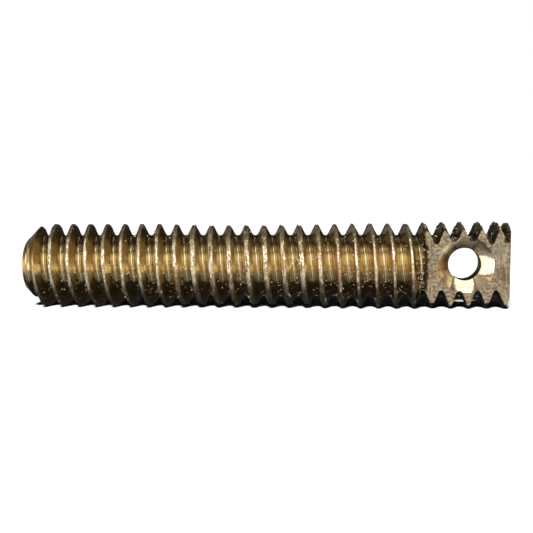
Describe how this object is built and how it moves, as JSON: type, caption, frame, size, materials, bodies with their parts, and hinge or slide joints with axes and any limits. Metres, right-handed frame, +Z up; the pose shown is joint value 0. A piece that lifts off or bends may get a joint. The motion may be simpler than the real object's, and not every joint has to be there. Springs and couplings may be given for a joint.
{
  "type": "worm screw",
  "caption": "Short solid brass worm: a single-start right-hand threaded rod with a lead-in chamfer at one end and a flat tang with a countersunk cross hole at the other.",
  "frame": {"origin": "on the screw's axis, half way along its length", "axes": "+X along the axis towards the tang, -Y and +Y square to the tang's two flats and along its cross hole, +Z up"},
  "size_m": [0.0346, 0.006, 0.006],
  "materials": {
    "brass": "turned and milled brass, bare, burnished on the thread's crests and dulled in its grooves"
  },
  "bodies": {
    "root": {"worm_screw": "brass"}
  },
  "joints": []
}
